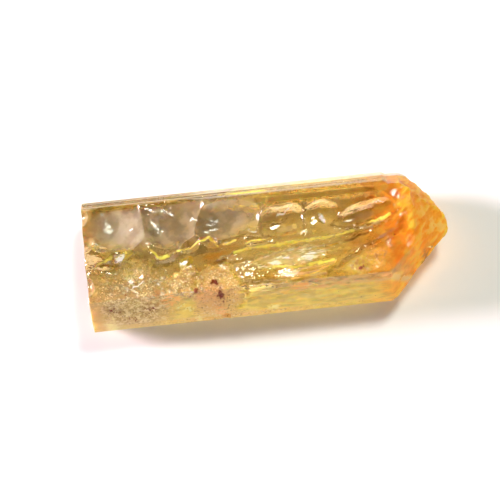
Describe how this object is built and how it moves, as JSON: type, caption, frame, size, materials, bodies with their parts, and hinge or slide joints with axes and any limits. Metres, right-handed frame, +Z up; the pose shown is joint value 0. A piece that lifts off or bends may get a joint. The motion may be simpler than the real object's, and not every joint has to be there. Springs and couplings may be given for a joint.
{
  "type": "imperial topaz crystal",
  "caption": "Loose natural prismatic crystal, golden to orange and see-through, lying on a flat prism face, with a worn point at one end and a cleavage break at the other.",
  "frame": {"origin": "under the middle of the crystal, on the surface that it rests on", "axes": "+X along the crystal towards its natural point, +Y across it towards the side with the raised growth layer, +Z up"},
  "size_m": [0.0242, 0.0086, 0.0048],
  "materials": {
    "topaz": "clear, vitreous, frosted at the etched point and in the sugary patch"
  },
  "bodies": {
    "root": {"topaz_crystal": "topaz"}
  },
  "joints": []
}
